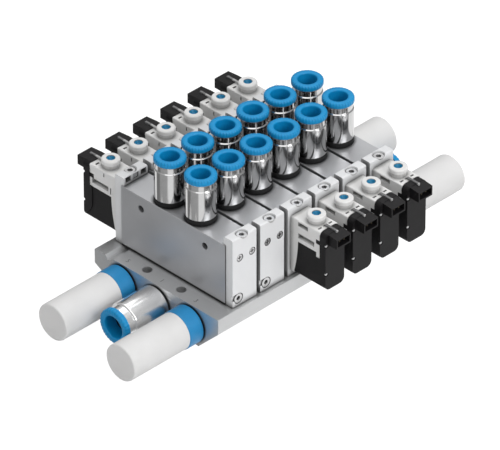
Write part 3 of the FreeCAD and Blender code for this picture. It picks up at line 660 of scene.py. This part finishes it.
def notched(piece, rim_radius, rim_height, depth):
    """Presses the grip's notches into the rim outside that radius and above that height."""
    bpy.ops.object.select_all(action="DESELECT")
    piece.select_set(True)
    bpy.context.view_layer.objects.active = piece
    turn = 2 * pi / grip_notches
    for vertex in piece.data.vertices:
        x, y, z = vertex.co
        angle = (Vector((x, y)).angle_signed(Vector((1, 0))) % turn) / turn
        on_rim = Vector((x, y)).length > rim_radius * mm and z > rim_height * mm
        vertex.select = on_rim and angle < notch_share
    for edge in piece.data.edges:
        edge.select = False
    for face in piece.data.polygons:
        face.select = False
    bpy.ops.object.mode_set(mode="EDIT")
    squeeze = 1 - depth / rim_radius
    bpy.ops.transform.resize(value=(squeeze, squeeze, 1), center_override=(0, 0, 0))
    bpy.ops.transform.translate(value=(0, 0, -depth * mm))
    bpy.ops.object.mode_set(mode="OBJECT")


ring_pattern = turned("ring_pattern", output_ring, ring_sides, 0, closed=True)
notched(ring_pattern, rim_radius=6.3, rim_height=21.3, depth=0.14)
finish_shading(ring_pattern)
for number in range(1, valve_count + 1):
    for row, port in ((-1, "4"), (1, "2")):
        node = "release_ring_%s_%d" % (port, number)
        ring = set_at(ring_pattern, "blue_ring_%s_%d" % (port, number), on_valve(row, number))
        piece = painted(ring, blue_ring)
        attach(piece, node)
        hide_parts(node)
wide_pattern = turned("wide_pattern", supply_ring, ring_sides, 0, closed=True)
notched(wide_pattern, rim_radius=7.5, rim_height=24.0, depth=0.16)
finish_shading(wide_pattern)
for end, name in ((-1, "front"), (1, "rear")):
    node = "supply_release_ring_" + name
    piece = painted(set_at(wide_pattern, "blue_supply_ring_" + name, on_rail_end(0, end)), blue_ring)
    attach(piece, node)
    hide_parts(node)
for pattern in (ring_pattern, wide_pattern):
    bpy.data.objects.remove(pattern)

# The silencers: blue threaded bases with white porous cartridges pressed on them,
# one in each end of both exhaust galleries, on thin black rings.
gallery_pitch = 20.0
silencer_edge = 0.1
silencer_base = [
    (0.1, -8.0), (6.5, -8.0), (6.5, 0.6), (8.4, 0.6), (8.7, 0.9), (8.7, 7.85), (8.4, 8.2),
    (6.0, 8.2), (6.0, 12.2), (0.1, 12.2),
]
silencer_foam = [
    (0.1, 12.2), (6.0, 12.2), (6.0, 8.2), (8.35, 8.2), (8.45, 8.3), (8.45, 39.3), (8.3, 39.75),
    (8.0, 39.99), (0.1, 39.99),
]
silencer_places = [on_rail_end(x * gallery_pitch, end) for x in (-1, 1) for end in (-1, 1)]

blue_base, stuff = new_finish("blue_silencer_base")
skin = stuff.grain((0.3, 0.3, 0.3), detail=3)
tint = stuff.grain((5, 5, 5), detail=2)
stuff.surface(
    Base_Color=stuff.mixed(tint, (0.004, 0.17, 0.38, 1), (0.008, 0.22, 0.48, 1)),
    Roughness=0.4 + skin * 0.12,
    Normal=stuff.relief(skin, depth=0.012),
)
porous, stuff = new_finish("porous_cartridge")
beads = stuff.grain((0.35, 0.35, 0.35), detail=3, roughness=0.6)
clouds = stuff.grain((9, 9, 9), detail=3)
stuff.surface(
    Base_Color=stuff.mixed(clouds, (0.58, 0.577, 0.575, 1), (0.64, 0.637, 0.635, 1)),
    Roughness=0.75 + beads * 0.15,
    Subsurface_Weight=0.1,
    Subsurface_Radius=(0.003, 0.003, 0.003),
    Normal=stuff.relief(beads, depth=0.03),
)
for name, outline, closed, node, material, slot in (
    ("silencer_bases_blue", silencer_base, False, "silencer_bases", blue_base, "blue_plastic"),
    ("silencer_cartridges", silencer_foam, False, "silencer_foams", porous, "silencer_foam"),
    ("silencer_sealing_rings", supply_seal, True, "silencer_seals", rubber, "rubber"),
):
    pattern = turned(name + "_pattern", outline, body_sides, silencer_edge, closed)
    copies = [set_at(pattern, name + "_copy", place) for place in silencer_places]
    piece = painted(joined(name, copies), material)
    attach(piece, "island")
    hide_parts(node)
    bpy.data.objects.remove(pattern)

# The port numbers: 5, 1 and 3, engraved lightly in the rail's top in front of each
# gallery, and dark from the cutter.
number_size = 3.2
number_y = -54.6
digit_half_width = number_size * 0.3
rail_top = 18.6
mark_depth = 0.02
mark_thickness = 0.03
engraved, metal = new_finish("engraved_mark")
cut_marks = metal.grain((0.3, 0.3, 0.3), detail=2)
metal.surface(
    Base_Color=metal.mixed(cut_marks, (0.2, 0.2, 0.21, 1), (0.3, 0.3, 0.31, 1)),
    Metallic=0.5,
    Roughness=0.55 + cut_marks * 0.2,
)
for digit, x in (("5", -gallery_pitch), ("1", 0), ("3", gallery_pitch)):
    bpy.ops.object.select_all(action="DESELECT")
    corner = Vector((x - digit_half_width, number_y, rail_top - mark_depth)) * mm
    bpy.ops.object.text_add(location=corner)
    mark = bpy.context.object
    mark.data.body = digit
    mark.data.size = number_size * mm
    mark.data.extrude = mark_thickness * mm
    bpy.ops.object.convert(target="MESH")
    bpy.ops.object.transform_apply(location=True, rotation=True, scale=True)
    mark = bpy.context.object
    mark.name = "port_number_" + digit
    painted(mark, engraved)
    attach(mark, "island")
